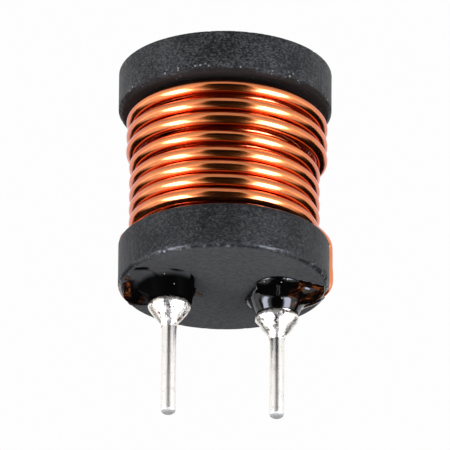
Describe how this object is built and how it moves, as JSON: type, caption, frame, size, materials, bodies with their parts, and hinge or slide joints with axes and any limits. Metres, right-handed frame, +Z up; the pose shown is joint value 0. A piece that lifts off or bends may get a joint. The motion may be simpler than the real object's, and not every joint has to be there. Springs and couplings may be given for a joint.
{
  "type": "drum core inductor",
  "caption": "Radial drum core inductor: a dark ferrite drum wound with enamelled copper wire, on round tinned pins with solder and black resin at their roots.",
  "frame": {"origin": "middle of the drum's flat underside, between the pins", "axes": "+Z up along the drum's axis, the pins on the X axis and pointing down along -Z"},
  "size_m": [0.0147, 0.0144, 0.0253],
  "materials": {
    "ferrite": "fired, dull and grainy",
    "copper": "bright copper under clear enamel",
    "tinned_pin": "bright tin",
    "solder": "bright tin solder",
    "resin": "glossy black resin"
  },
  "bodies": {
    "root": {"drum_core": "ferrite", "winding": "copper", "pin_left": "tinned_pin", "pin_right": "tinned_pin", "solder_left": "solder", "solder_right": "solder", "resin_left": "resin", "resin_right": "resin"}
  },
  "joints": []
}
